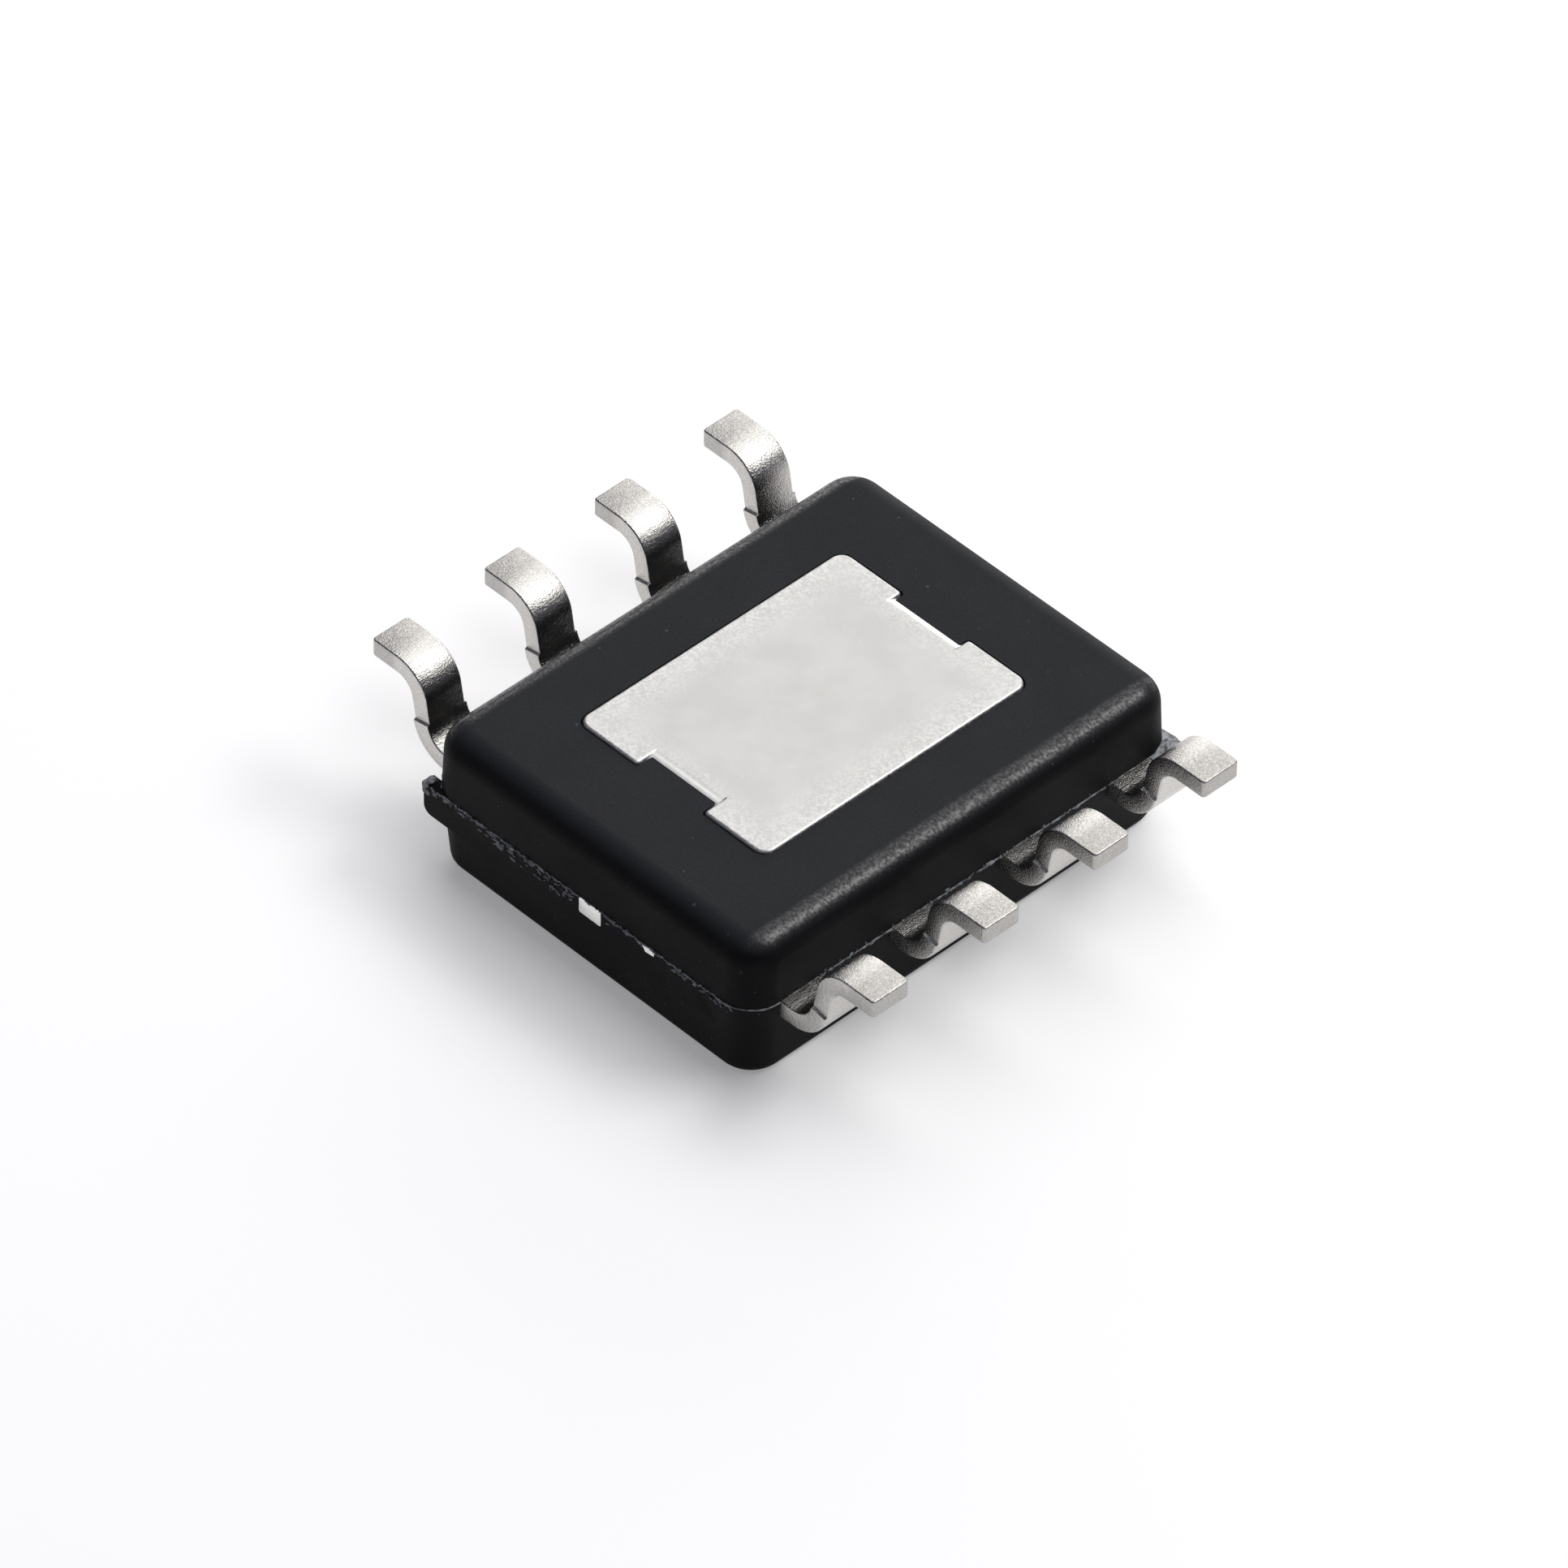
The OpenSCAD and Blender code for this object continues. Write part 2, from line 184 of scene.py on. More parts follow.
class ChipFinishes(bpy.types.PropertyGroup):
    mould: bpy.props.FloatVectorProperty(
        name="Mould compound", description="Colour of the black plastic",
        default=(0.0058, 0.0062, 0.0071), size=3, subtype="COLOR", min=0.0, max=1.0)
    broken: bpy.props.FloatVectorProperty(
        name="Broken plastic", description="Colour of broken flash and flakes",
        default=(0.24, 0.25, 0.27), size=3, subtype="COLOR", min=0.0, max=1.0)
    pad: bpy.props.FloatVectorProperty(
        name="Pad plating", description="Colour of the plated pad",
        default=(0.51, 0.51, 0.5), size=3, subtype="COLOR", min=0.0, max=1.0)
    tin: bpy.props.FloatVectorProperty(
        name="Tin plating", description="Colour of the plated leads",
        default=(0.6, 0.585, 0.56), size=3, subtype="COLOR", min=0.0, max=1.0)


class ChipStudio(bpy.types.PropertyGroup):
    focal: bpy.props.FloatProperty(
        name="Focal length", description="Focal length of the camera in millimetres",
        default=328.34, min=1.0)
    azimuth: bpy.props.FloatProperty(
        name="Azimuth", description="Camera turn round the part",
        default=math.radians(45.3928), subtype="ANGLE")
    elevation: bpy.props.FloatProperty(
        name="Elevation", description="Camera height as an angle",
        default=math.radians(43.2804), subtype="ANGLE")
    roll: bpy.props.FloatProperty(
        name="Roll", description="Camera roll",
        default=math.radians(0.9796), subtype="ANGLE")
    distance: bpy.props.FloatProperty(
        name="Distance", description="Camera from the aim point",
        default=119.1771 * MM, min=0.0, unit="LENGTH")
    aim: bpy.props.FloatVectorProperty(
        name="Aim", description="Point the camera looks at",
        default=(0.009 * MM, -0.2215 * MM, 0.7 * MM), size=3, subtype="TRANSLATION")
    sky: bpy.props.FloatProperty(
        name="Sky", description="Strength of the surrounding light", default=0.1, min=0.0)
    overhead: bpy.props.FloatProperty(
        name="Overhead", description="Brightness that the overhead lamp gives a white surface",
        default=0.72, min=0.0)
    side: bpy.props.FloatProperty(
        name="Side", description="Brightness that the side lamp gives a white surface",
        default=0.2, min=0.0)
    back: bpy.props.FloatProperty(
        name="Back", description="Brightness that the low back lamp gives a white surface",
        default=0.08, min=0.0)


# ---- mesh helpers, all in millimetres until a piece is finished ----


def millimetres(settings):
    """The lengths and angles of a property group as plain numbers, lengths in millimetres."""
    values = {}
    for name, prop in settings.bl_rna.properties.items():
        if name in ("rna_type", "name"):
            continue
        value = getattr(settings, name)
        values[name] = value / MM if getattr(prop, "unit", "NONE") == "LENGTH" else value
    return values


def finish_piece(bm, name, material, replaced=(), sharp=40.0, weld=0.0004):
    """Closes a mesh, brings it to metres, gives it its finish and lets it ride on the part."""
    if weld:
        bmesh.ops.remove_doubles(bm, verts=bm.verts, dist=weld)
        bmesh.ops.recalc_face_normals(bm, faces=bm.faces)
    bmesh.ops.scale(bm, vec=(MM, MM, MM), verts=bm.verts)
    limit = math.radians(sharp)
    for face in bm.faces:
        face.smooth = True
    for edge in bm.edges:
        edge.smooth = len(edge.link_faces) == 2 and edge.calc_face_angle() < limit
    mesh = bpy.data.meshes.new(name)
    bm.to_mesh(mesh)
    bm.free()
    piece = bpy.data.objects.new(name, mesh)
    bpy.context.scene.collection.objects.link(piece)
    mesh.materials.append(material)
    normals = piece.modifiers.new("even_normals", "WEIGHTED_NORMAL")
    normals.keep_sharp = True
    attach(piece, "root")
    if replaced:
        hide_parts(*replaced)
    return piece


def outline(bm, corners, radii, z, segments=8):
    """A flat face through the corners, each rounded with its own radius."""
    others = set(bm.verts)
    verts = [bm.verts.new((x, y, z)) for x, y in corners]
    bm.faces.new(verts)
    for radius in sorted(set(radii)):
        if radius > 0:
            chosen = [v for v, r in zip(verts, radii) if r == radius]
            bmesh.ops.bevel(bm, geom=chosen, offset=radius, offset_type="OFFSET",
                            segments=segments, profile=0.5, affect="VERTICES", material=-1)
    return [f for f in bm.faces if not others.intersection(f.verts)][0]


def raise_face(bm, face, dz, inset=0.0):
    """Extrudes a flat face by dz and draws its outline in by inset."""
    made = bmesh.ops.extrude_face_region(bm, geom=[face])["geom"]
    verts = [g for g in made if isinstance(g, bmesh.types.BMVert)]
    cap = [g for g in made if isinstance(g, bmesh.types.BMFace)][0]
    bmesh.ops.translate(bm, vec=(0, 0, dz), verts=verts)
    half_x = max(abs(v.co.x) for v in verts)
    half_y = max(abs(v.co.y) for v in verts)
    bmesh.ops.scale(bm, vec=(1 - inset / half_x, 1 - inset / half_y, 1), verts=verts)
    return cap


def round_rim(bm, face, radius, segments):
    """Rounds the edges round a face and returns the face that is left in the middle."""
    height = face.calc_center_median().z
    bmesh.ops.bevel(bm, geom=list(face.edges), offset=radius, offset_type="OFFSET",
                    segments=segments, profile=0.5, affect="EDGES", material=-1,
                    clamp_overlap=True)
    flat = [f for f in bm.faces if all(abs(v.co.z - height) < 1e-5 for v in f.verts)]
    return max(flat, key=lambda f: f.calc_area())


def open_face(bm, face, loop_face, depth):
    """Cuts the outline of loop_face into a flat face and sinks it as a pocket."""
    rim = list(face.edges)
    mouth = list(loop_face.edges)
    bmesh.ops.delete(bm, geom=[face], context="FACES_ONLY")
    floor = bmesh.ops.extrude_face_region(bm, geom=[loop_face], use_keep_orig=False)["geom"]
    verts = [g for g in floor if isinstance(g, bmesh.types.BMVert)]
    bmesh.ops.translate(bm, vec=(0, 0, depth), verts=verts)
    if loop_face.is_valid:
        bmesh.ops.delete(bm, geom=[loop_face], context="FACES_ONLY")
    bmesh.ops.triangle_fill(bm, use_beauty=True, use_dissolve=False,
                            edges=[e for e in rim + mouth if e.is_valid])


def sharp_edges(bm, angle):
    """The edges where two faces meet at more than this angle."""
    return [e for e in bm.edges
            if len(e.link_faces) == 2 and e.calc_face_angle() > math.radians(angle)]


def push(bm, face, along, widen=1.0):
    """Extrudes the end face of a strip by a vector, narrowing it across Y if asked."""
    made = bmesh.ops.extrude_face_region(bm, geom=[face])["geom"]
    verts = [g for g in made if isinstance(g, bmesh.types.BMVert)]
    bmesh.ops.translate(bm, vec=along, verts=verts)
    if widen != 1.0:
        middle = sum((v.co.y for v in verts)) / len(verts)
        bmesh.ops.scale(bm, vec=(1, widen, 1), verts=verts,
                        space=Matrix.Translation((0, -middle, 0)))
    return [g for g in made if isinstance(g, bmesh.types.BMFace)][0]


def bend(bm, face, centre, axis, angle, steps):
    """Spins the end face of a strip round an axis through centre."""
    made = bmesh.ops.spin(bm, geom=[face], cent=centre, axis=axis, dvec=(0, 0, 0),
                          angle=angle, steps=steps, use_merge=False,
                          use_normal_flip=False, use_duplicate=False)["geom_last"]
    return [g for g in made if isinstance(g, bmesh.types.BMFace)][0]


def roughen(bm, verts, reach, size, seed, axes=(1, 1, 1)):
    """Moves vertices by a noise that is reach deep and size wide."""
    shift = Vector((seed * 3.1, seed * 1.7, seed * 0.9))
    for vert in verts:
        push_by = noise.noise_vector(vert.co / size + shift) * reach
        vert.co += Vector((push_by.x * axes[0], push_by.y * axes[1], push_by.z * axes[2]))


# ---- node helpers ----


def node_group(name, inputs, outputs):
    """An empty shader node group with float inputs and named outputs."""
    group = bpy.data.node_groups.new(name, "ShaderNodeTree")
    for label, kind, value in inputs:
        socket = group.interface.new_socket(name=label, in_out="INPUT", socket_type=kind)
        if value is not None:
            socket.default_value = value
    for label, kind in outputs:
        group.interface.new_socket(name=label, in_out="OUTPUT", socket_type=kind)
    start = group.nodes.new("NodeGroupInput")
    end = group.nodes.new("NodeGroupOutput")
    return group, start, end


def math_node(tree, operation, first, second=None, third=None, clamp=False):
    node = tree.nodes.new("ShaderNodeMath")
    node.operation = operation
    node.use_clamp = clamp
    for place, value in enumerate((first, second, third)):
        if value is None:
            continue
        if isinstance(value, (int, float)):
            node.inputs[place].default_value = value
        else:
            tree.links.new(value, node.inputs[place])
    return node.outputs[0]


def scaled_noise(tree, vector, scale, detail=2.0, roughness=0.5):
    """A noise whose scale is a socket or a number; returns its value."""
    node = tree.nodes.new("ShaderNodeTexNoise")
    node.inputs["Detail"].default_value = detail
    node.inputs["Roughness"].default_value = roughness
    tree.links.new(vector, node.inputs["Vector"])
    if isinstance(scale, (int, float)):
        node.inputs["Scale"].default_value = scale
    else:
        tree.links.new(scale, node.inputs["Scale"])
    return node.outputs["Fac"]


def ramp(tree, value, low, high):
    """Turns a value from low to high into 0 to 1, smoothly."""
    node = tree.nodes.new("ShaderNodeMapRange")
    node.interpolation_type = "SMOOTHSTEP"
    tree.links.new(value, node.inputs["Value"])
    for label, end in (("From Min", low), ("From Max", high)):
        if isinstance(end, (int, float)):
            node.inputs[label].default_value = end
        else:
            tree.links.new(end, node.inputs[label])
    return node.outputs["Result"]


def grain_group():
    """Fine surface grain: a height and a variation, with sizes in metres."""
    name = "surface_grain"
    if name in bpy.data.node_groups:
        return bpy.data.node_groups[name]
    group, start, end = node_group(
        name,
        [("Vector", "NodeSocketVector", None), ("Grain Size", "NodeSocketFloat", 0.02 * MM),
         ("Cloud Size", "NodeSocketFloat", 0.5 * MM)],
        [("Height", "NodeSocketFloat"), ("Cloud", "NodeSocketFloat")])
    fine = math_node(group, "DIVIDE", 1.0, start.outputs["Grain Size"])
    broad = math_node(group, "DIVIDE", 1.0, start.outputs["Cloud Size"])
    height = scaled_noise(group, start.outputs["Vector"], fine, 3.0, 0.6)
    cloud = scaled_noise(group, start.outputs["Vector"], broad, 4.0, 0.55)
    group.links.new(height, end.inputs["Height"])
    group.links.new(cloud, end.inputs["Cloud"])
    return group


def speck_group():
    """Sparse bright specks: a mask from a cell pattern, with its size in metres."""
    name = "dust_specks"
    if name in bpy.data.node_groups:
        return bpy.data.node_groups[name]
    group, start, end = node_group(
        name,
        [("Vector", "NodeSocketVector", None), ("Spacing", "NodeSocketFloat", 0.2 * MM),
         ("Speck Size", "NodeSocketFloat", 0.1), ("Share", "NodeSocketFloat", 0.5)],
        [("Mask", "NodeSocketFloat")])
    cells = group.nodes.new("ShaderNodeTexVoronoi")
    group.links.new(start.outputs["Vector"], cells.inputs["Vector"])
    group.links.new(math_node(group, "DIVIDE", 1.0, start.outputs["Spacing"]),
                    cells.inputs["Scale"])
    apart = group.nodes.new("ShaderNodeSeparateColor")
    group.links.new(cells.outputs["Color"], apart.inputs["Color"])
    size = math_node(group, "MULTIPLY", start.outputs["Speck Size"], apart.outputs["Green"])
    near = math_node(group, "LESS_THAN", cells.outputs["Distance"], size)
    chosen = math_node(group, "LESS_THAN", apart.outputs["Red"], start.outputs["Share"])
    group.links.new(math_node(group, "MULTIPLY", near, chosen), end.inputs["Mask"])
    return group


def border_group():
    """How near a point lies to the border of a rounded box on the XY plane, 0 inside to 1."""
    name = "border_mask"
    if name in bpy.data.node_groups:
        return bpy.data.node_groups[name]
    group, start, end = node_group(
        name,
        [("Vector", "NodeSocketVector", None), ("Half X", "NodeSocketFloat", 1.0 * MM),
         ("Half Y", "NodeSocketFloat", 1.0 * MM), ("Band", "NodeSocketFloat", 0.2 * MM)],
        [("Mask", "NodeSocketFloat")])
    apart = group.nodes.new("ShaderNodeSeparateXYZ")
    group.links.new(start.outputs["Vector"], apart.inputs[0])
    from_x = math_node(group, "SUBTRACT", start.outputs["Half X"],
                       math_node(group, "ABSOLUTE", apart.outputs["X"]))
    from_y = math_node(group, "SUBTRACT", start.outputs["Half Y"],
                       math_node(group, "ABSOLUTE", apart.outputs["Y"]))
    nearest = math_node(group, "SMOOTH_MIN", from_x, from_y, 0.1 * MM)
    ratio = math_node(group, "DIVIDE", nearest, start.outputs["Band"], clamp=True)
    group.links.new(math_node(group, "SUBTRACT", 1.0, ratio), end.inputs["Mask"])
    return group


def new_material(name):
    """A material with its Principled shader and Object coordinates."""
    material = bpy.data.materials.new(name)
    material.use_nodes = True
    tree = material.node_tree
    shader = tree.nodes["Principled BSDF"]
    place = tree.nodes.new("ShaderNodeTexCoord").outputs["Object"]
    return material, tree, shader, place


def use_group(tree, group, place, **values):
    node = tree.nodes.new("ShaderNodeGroup")
    node.node_tree = group
    tree.links.new(place, node.inputs["Vector"])
    for label, value in values.items():
        node.inputs[label.replace("_", " ")].default_value = value
    return node


def bump(tree, shader, heights, distance, strength=1.0):
    """Chains bump nodes for (height socket, share) pairs and feeds the shader's normal."""
    last = None
    for height, share in heights:
        node = tree.nodes.new("ShaderNodeBump")
        node.inputs["Strength"].default_value = strength
        node.inputs["Distance"].default_value = distance * share
        tree.links.new(height, node.inputs["Height"])
        if last is not None:
            tree.links.new(last, node.inputs["Normal"])
        last = node.outputs["Normal"]
    tree.links.new(last, shader.inputs["Normal"])


def mix_colour(tree, factor, first, second):
    node = tree.nodes.new("ShaderNodeMix")
    node.data_type = "RGBA"
    tree.links.new(factor, node.inputs["Factor"])
    for socket, value in ((node.inputs["A"], first), (node.inputs["B"], second)):
        if isinstance(value, tuple):
            socket.default_value = value
        else:
            tree.links.new(value, socket)
    return node.outputs["Result"]


def shade(colour, factor):
    """The colour times a factor, with full alpha."""
    return tuple(min(1.0, c * factor) for c in colour) + (1.0,)


# ---- finishes ----


def mould_material(finishes):
    """Black moulding compound: dull, finely pitted, with a few pale filler specks and a belly face painted
    lighter as a painted sheen.
    """
    if "mould_compound_finish" in bpy.data.materials:
        return bpy.data.materials["mould_compound_finish"]
    material, tree, shader, place = new_material("mould_compound_finish")
    base = tuple(finishes.mould)
    grain = use_group(tree, grain_group(), place, Grain_Size=0.012 * MM, Cloud_Size=0.7 * MM)
    specks = use_group(tree, speck_group(), place, Spacing=0.11 * MM, Speck_Size=0.14, Share=0.22)
    cloud = ramp(tree, grain.outputs["Cloud"], 0.3, 0.7)
    colour = mix_colour(tree, cloud, shade(base, 0.9), shade(base, 1.12))
    pits = ramp(tree, grain.outputs["Height"], 0.35, 0.7)
    colour = mix_colour(tree, pits, colour, shade(base, 1.35))
    place_xyz = tree.nodes.new("ShaderNodeSeparateXYZ")
    tree.links.new(place, place_xyz.inputs[0])
    # Painted sheen: the belly face is painted 3.5 to 4.7 times lighter than the walls, in place of the
    # bright overhead light it reflects.
    belly = ramp(tree, place_xyz.outputs["Z"], BODY_HIGH.z - 0.14 * MM, BODY_HIGH.z - 0.01 * MM)
    painted_belly_sheen = mix_colour(tree, pits, shade(base, 3.5), shade(base, 4.7))
    colour = mix_colour(tree, belly, colour, painted_belly_sheen)
    colour = mix_colour(tree, specks.outputs["Mask"], colour, shade(base, 11.0))
    tree.links.new(colour, shader.inputs["Base Color"])
    shader.inputs["Specular IOR Level"].default_value = 0.07
    upper = ramp(tree, place_xyz.outputs["Z"], BODY_HIGH.z - 0.12 * MM, BODY_HIGH.z - 0.05 * MM)
    beside = ramp(tree, math_node(tree, "ABSOLUTE", place_xyz.outputs["X"]), 1.68 * MM, 1.75 * MM)
    edge = math_node(tree, "MULTIPLY", beside, upper)
    coarse = use_group(tree, grain_group(), place, Grain_Size=0.03 * MM, Cloud_Size=0.7 * MM)
    sparkle = ramp(tree, coarse.outputs["Height"], 0.4, 0.62)
    shine = math_node(tree, "MULTIPLY_ADD", sparkle, 0.7, 0.3)
    tree.links.new(math_node(tree, "MULTIPLY", edge, shine), shader.inputs["Coat Weight"])
    shader.inputs["Coat Roughness"].default_value = 0.3
    rough = math_node(tree, "MULTIPLY_ADD", cloud, 0.08, 0.5)
    tree.links.new(rough, shader.inputs["Roughness"])
    bump(tree, shader, [(grain.outputs["Height"], 1.0)], 0.0035 * MM)
    return material


def broken_material(finishes):
    """Freshly broken compound: paler and rougher than the moulded skin."""
    if "broken_compound_finish" in bpy.data.materials:
        return bpy.data.materials["broken_compound_finish"]
    material, tree, shader, place = new_material("broken_compound_finish")
    base = tuple(finishes.broken)
    grain = use_group(tree, grain_group(), place, Grain_Size=0.01 * MM, Cloud_Size=0.06 * MM)
    cloud = ramp(tree, grain.outputs["Cloud"], 0.38, 0.62)
    colour = mix_colour(tree, cloud, shade(base, 0.35), shade(base, 1.8))
    tree.links.new(colour, shader.inputs["Base Color"])
    rough = math_node(tree, "MULTIPLY_ADD", cloud, -0.2, 0.55)
    tree.links.new(rough, shader.inputs["Roughness"])
    bump(tree, shader, [(grain.outputs["Cloud"], 1.0), (grain.outputs["Height"], 0.4)], 0.02 * MM)
    return material


def pad_material(finishes, half_x, half_y):
    """Matte silver plating, frosted and brighter towards the edges and corners, with a painted highlight on
    the rounded rim.
    """
    if "pad_plating_finish" in bpy.data.materials:
        return bpy.data.materials["pad_plating_finish"]
    material, tree, shader, place = new_material("pad_plating_finish")
    base = tuple(finishes.pad)
    grain = use_group(tree, grain_group(), place, Grain_Size=0.01 * MM, Cloud_Size=0.35 * MM)
    crystal = use_group(tree, grain_group(), place, Grain_Size=0.028 * MM, Cloud_Size=0.09 * MM)
    border = use_group(tree, border_group(), place, Half_X=half_x, Half_Y=half_y, Band=0.42 * MM)
    specks = use_group(tree, speck_group(), place, Spacing=0.1 * MM, Speck_Size=0.3, Share=0.16)
    cloud = ramp(tree, grain.outputs["Cloud"], 0.35, 0.65)
    frosted = math_node(tree, "MULTIPLY", border.outputs["Mask"],
                        ramp(tree, crystal.outputs["Height"], 0.4, 0.62))
    colour = mix_colour(tree, cloud, shade(base, 0.97), shade(base, 1.03))
    colour = mix_colour(tree, frosted, colour, shade(base, 1.4))
    apart = tree.nodes.new("ShaderNodeSeparateXYZ")
    tree.links.new(place, apart.inputs[0])
    # Painted highlight: the rounded rim just below the pad's top is painted 1.85 times brighter, in place of
    # the light it catches.
    drop = math_node(tree, "SUBTRACT", PAD_HIGH.z, apart.outputs["Z"])
    rolled = ramp(tree, drop, 0.002 * MM, 0.008 * MM)
    colour = mix_colour(tree, rolled, colour, shade(base, 1.85))
    flecks = math_node(tree, "MULTIPLY", specks.outputs["Mask"],
                       math_node(tree, "MULTIPLY_ADD", border.outputs["Mask"], 0.8, 0.2))
    colour = mix_colour(tree, flecks, colour, shade(base, 1.25))
    tree.links.new(colour, shader.inputs["Base Color"])
    shader.inputs["Metallic"].default_value = 1.0
    rough = math_node(tree, "MULTIPLY_ADD", frosted, 0.14, 0.42)
    tree.links.new(rough, shader.inputs["Roughness"])
    rubbed = math_node(tree, "MULTIPLY", crystal.outputs["Cloud"], border.outputs["Mask"])
    bump(tree, shader, [(rubbed, 1.0), (grain.outputs["Height"], 0.2)], 0.006 * MM)
    return material


def tin_material(finishes):
    """Matte tin on the leads: fine grain on the flats, faint streaks round the bends."""
    if "tin_plating_finish" in bpy.data.materials:
        return bpy.data.materials["tin_plating_finish"]
    material, tree, shader, place = new_material("tin_plating_finish")
    base = tuple(finishes.tin)
    grain = use_group(tree, grain_group(), place, Grain_Size=0.014 * MM, Cloud_Size=0.12 * MM)
    stretch = tree.nodes.new("ShaderNodeMapping")
    stretch.inputs["Scale"].default_value = (6.0, 1.0, 6.0)
    tree.links.new(place, stretch.inputs["Vector"])
    streaks = use_group(tree, grain_group(), stretch.outputs["Vector"],
                        Grain_Size=0.09 * MM, Cloud_Size=0.5 * MM)
    height = ramp(tree, grain.outputs["Height"], 0.36, 0.66)
    colour = mix_colour(tree, height, shade(base, 0.82), shade(base, 1.12))
    cloud = ramp(tree, streaks.outputs["Height"], 0.35, 0.7)
    colour = mix_colour(tree, cloud, colour, shade(base, 0.95))
    apart = tree.nodes.new("ShaderNodeSeparateXYZ")
    tree.links.new(place, apart.inputs[0])
    tip = ramp(tree, math_node(tree, "ABSOLUTE", apart.outputs["X"]), LEAD_HIGH.x - 0.34 * MM,
               LEAD_HIGH.x - 0.2 * MM)
    dull = math_node(tree, "MULTIPLY", tip, math_node(tree, "MULTIPLY_ADD", height, -0.5, 1.0))
    colour = mix_colour(tree, dull, colour, shade(base, 0.62))
    tree.links.new(colour, shader.inputs["Base Color"])
    shader.inputs["Metallic"].default_value = 1.0
    rough = math_node(tree, "MULTIPLY_ADD", grain.outputs["Cloud"], 0.16, 0.1)
    tree.links.new(rough, shader.inputs["Roughness"])
    bump(tree, shader, [(grain.outputs["Height"], 1.0), (streaks.outputs["Height"], 0.6)],
         0.0045 * MM)
    return material


def inner_material(name, colour, metallic, roughness):
    """A plain technical finish with fine grain, for the pieces inside the body."""
    if name in bpy.data.materials:
        return bpy.data.materials[name]
    material, tree, shader, place = new_material(name)
    grain = use_group(tree, grain_group(), place, Grain_Size=0.02 * MM, Cloud_Size=0.3 * MM)
    cloud = ramp(tree, grain.outputs["Cloud"], 0.35, 0.65)
    tree.links.new(mix_colour(tree, cloud, shade(colour, 0.92), shade(colour, 1.08)),
                   shader.inputs["Base Color"])
    shader.inputs["Metallic"].default_value = metallic
    tree.links.new(math_node(tree, "MULTIPLY_ADD", cloud, 0.08, roughness),
                   shader.inputs["Roughness"])
    bump(tree, shader, [(grain.outputs["Height"], 1.0)], 0.002 * MM)
    return material


# ---- pieces ----


def pad_outline(bm, pad, grow, z, floors):
    """The I-shaped outline of the pad, grown all round, with the y of its two notch floors."""
    half_x = PAD_HIGH.x / MM + grow
    half_y = pad["length"] / 2 + grow
    mouth = pad["notch_width"] / 2 - grow
    low, high = floors
    corners = [
        (-half_x, -half_y), (-mouth, -half_y), (-mouth, low), (mouth, low), (mouth, -half_y),
        (half_x, -half_y), (half_x, half_y), (mouth, half_y), (mouth, high), (-mouth, high),
        (-mouth, half_y), (-half_x, half_y),
    ]
    outer = pad["corner"] + grow
    inner = 0.035
    radii = [outer, inner, inner, inner, inner, outer, outer, inner, inner, inner, inner, outer]
    return outline(bm, corners, radii, z, segments=8)


def make_body(body, pad, finishes):
    """The moulded body: two drafted halves, the pad's pocket and the pin-one dimple."""
    half_x = body["width"] / 2
    half_y = body["length"] / 2
    bm = bmesh.new()
    corners = [(-half_x, -half_y), (half_x, -half_y), (half_x, half_y), (-half_x, half_y)]
    start = outline(bm, corners, [body["corner"]] * 4, body["parting_z"], segments=14)
    rise = body["belly_z"] - body["parting_z"]
    belly = raise_face(bm, start, rise, rise * math.tan(body["belly_draft"]))
    start = min(bm.faces, key=lambda f: f.calc_center_median().z)
    drop = body["parting_z"]
    marking = raise_face(bm, start, -drop, drop * math.tan(body["marking_draft"]))
    belly = round_rim(bm, belly, body["belly_edge"], 10)
    marking = min(bm.faces, key=lambda f: f.calc_center_median().z)
    marking = round_rim(bm, marking, body["marking_edge"], 6)
    notch = pad["length"] / 2 - pad["notch_depth"]
    pocket = pad_outline(bm, pad, body["groove"], body["belly_z"], (-notch - 0.02, notch + 0.018))
    pocket_verts = set(pocket.verts)
    roughen(bm, pocket_verts, 0.006, 0.05, 3, (1, 1, 0))
    open_face(bm, belly, pocket, -0.06)
    made = bmesh.ops.create_circle(bm, cap_ends=True, segments=40, radius=body["dimple"] / 2)
    bmesh.ops.translate(bm, verts=made["verts"],
                        vec=(-half_x + body["dimple_inset"], -half_y + body["dimple_inset"], 0))
    dimple = made["verts"][0].link_faces[0]
    open_face(bm, marking, dimple, body["dimple_depth"])
    finish_piece(bm, "package_body", mould_material(finishes),
                 ["moulded_body"])


def block(bm, low, high):
    """A closed box between two corners; returns its vertices."""
    verts = bmesh.ops.create_cube(bm, size=1.0)["verts"]
    size = [b - a for a, b in zip(low, high)]
    middle = [(a + b) / 2 for a, b in zip(low, high)]
    bmesh.ops.scale(bm, vec=size, verts=verts)
    bmesh.ops.translate(bm, vec=middle, verts=verts)
    return verts


